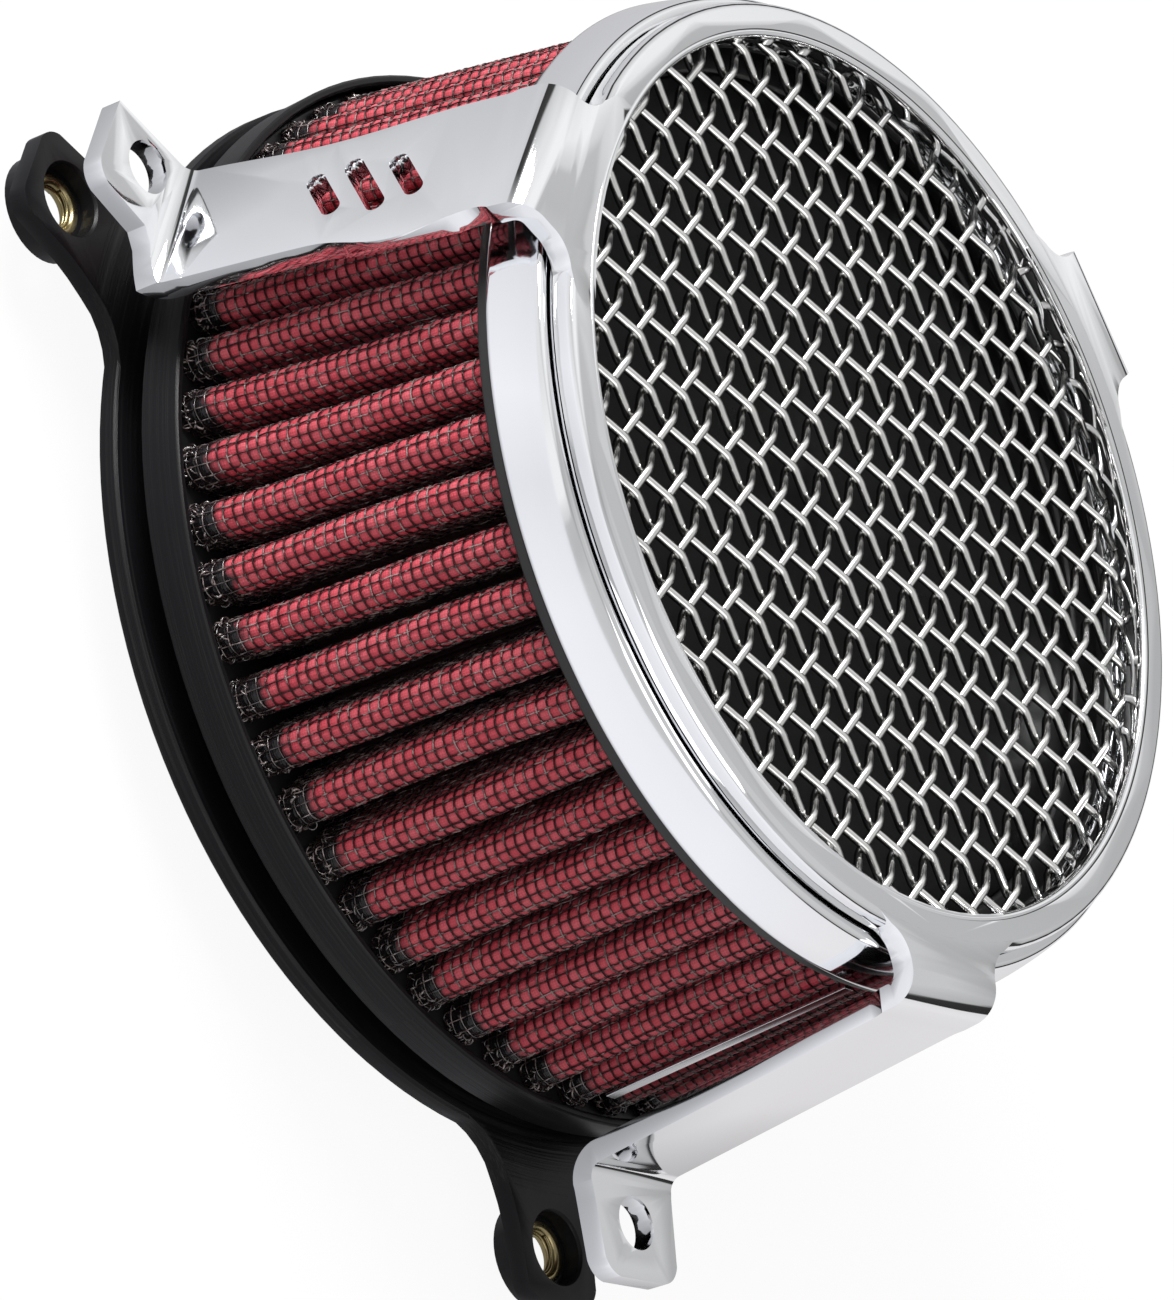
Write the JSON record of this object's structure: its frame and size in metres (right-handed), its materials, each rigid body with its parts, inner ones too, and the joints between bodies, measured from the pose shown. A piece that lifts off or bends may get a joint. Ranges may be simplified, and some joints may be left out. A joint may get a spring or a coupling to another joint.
{
  "type": "motorcycle air filter",
  "caption": "Round open air filter: pleated gauze element clamped between a black lugged backplate and a chrome three-arm cover with a woven wire screen.",
  "frame": {"origin": "centre of the intake gasket's rear face, where the part seats on the carburettor or throttle body", "axes": "+Z along the filter axis towards the open wire screen; +Y towards the lead lug and the slotted arm; +X completes the right-handed frame"},
  "size_m": [0.1682, 0.1668, 0.077],
  "materials": {
    "black_coat": "satin black coat over machined aluminium",
    "insert_brass": "plated threaded insert",
    "turned_alloy": "fine turned",
    "screw_steel": "zinc plated",
    "gasket_fibre": "matte fibre sheet",
    "seal_rubber": "matte",
    "cap_urethane": "moulded satin urethane",
    "red_gauze": "oiled cotton gauze",
    "coated_wire": "black epoxy coated wire",
    "plate_black": "semi gloss black",
    "chrome": "polished",
    "clip_metal": "bright",
    "screen_wire": "bright drawn stainless wire"
  },
  "bodies": {
    "base": {"backplate": "black_coat", "lug_inserts": "insert_brass", "intake_bellmouth": "turned_alloy", "bellmouth_screws": "screw_steel", "intake_gasket": "gasket_fibre", "base_seal": "seal_rubber"},
    "element": {"rear_cap": "cap_urethane", "pleated_media": "red_gauze", "outer_screen": "coated_wire", "inner_screen": "coated_wire", "front_cap": "cap_urethane", "end_plate": "plate_black", "front_band": "chrome", "seam_clip": "clip_metal"},
    "cover": {"cover_frame": "chrome", "screen_warp": "screen_wire", "screen_weft": "screen_wire", "screen_retainer": "chrome"}
  },
  "joints": [
    {"name": "element_lift", "type": "slide", "parent": "base", "child": "element", "axis": [0, 0, 1], "range_m": [0, 0.06]},
    {"name": "cover_lift", "type": "slide", "parent": "element", "child": "cover", "axis": [0, 0, 1], "range_m": [0, 0.08]}
  ]
}
